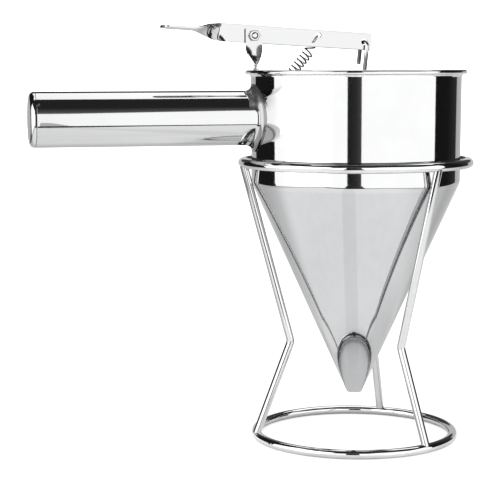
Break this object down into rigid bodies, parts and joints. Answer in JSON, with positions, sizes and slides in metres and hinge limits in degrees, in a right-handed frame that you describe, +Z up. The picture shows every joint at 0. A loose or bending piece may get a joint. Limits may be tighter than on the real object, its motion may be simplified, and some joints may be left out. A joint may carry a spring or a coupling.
{
  "type": "batter dispenser",
  "caption": "Hand-held batter funnel with a tube handle and a sprung thumb lever that lifts a plunger from the spout, resting in a kneed wire stand.",
  "frame": {"origin": "centre of the base ring, on the table", "axes": "+Z up along the funnel, -X along the handle, lever in the XZ plane"},
  "size_m": [0.2525, 0.134, 0.2378],
  "materials": {
    "stand_wire": "bright plated",
    "bowl_sheet": "mirror polished stainless",
    "cone_sheet": "satin stainless",
    "handle_steel": "mirror polished stainless",
    "lever_strip": "polished stainless",
    "fastener_steel": "polished stainless",
    "spring_wire": "bright drawn wire",
    "rod_wire": "bright drawn wire",
    "stopper_steel": "turned stainless"
  },
  "bodies": {
    "stand": {"base_ring": "stand_wire", "support_ring": "stand_wire", "leg_handle_side": "stand_wire", "leg_front": "stand_wire", "leg_rear": "stand_wire"},
    "funnel": {"bowl": "bowl_sheet", "cone": "cone_sheet", "handle_tube": "handle_steel", "handle_end_cap": "handle_steel", "handle_flange": "handle_steel", "lever_bracket": "lever_strip", "pivot_bolt": "fastener_steel", "pivot_nut": "fastener_steel", "ear_washer": "fastener_steel", "head_washer": "fastener_steel", "return_spring": "spring_wire"},
    "lever": {"lever": "lever_strip"},
    "plunger": {"plunger_rod": "rod_wire", "stopper": "stopper_steel"}
  },
  "joints": [
    {"name": "funnel_lift", "type": "slide", "parent": "stand", "child": "funnel", "axis": [0, 0, 1], "range_m": [0, 0.14]},
    {"name": "lever_press", "type": "hinge", "parent": "funnel", "child": "lever", "pos_m": [-0.05936, 0.0018, 0.2305], "axis": [0, -1, 0], "range_deg": [0, 15], "stiffness_Nm_per_rad": 0.3, "springref_deg": -28.65, "deforming": ["return_spring"]},
    {"name": "plunger_hang", "type": "hinge", "parent": "lever", "child": "plunger", "pos_m": [0.0054, 0.0018, 0.2271], "axis": [0, -1, 0], "range_deg": [-15, 0]}
  ],
  "couplings": [
    {"joint": "plunger_hang", "follows": "lever_press", "ratio": -1}
  ]
}
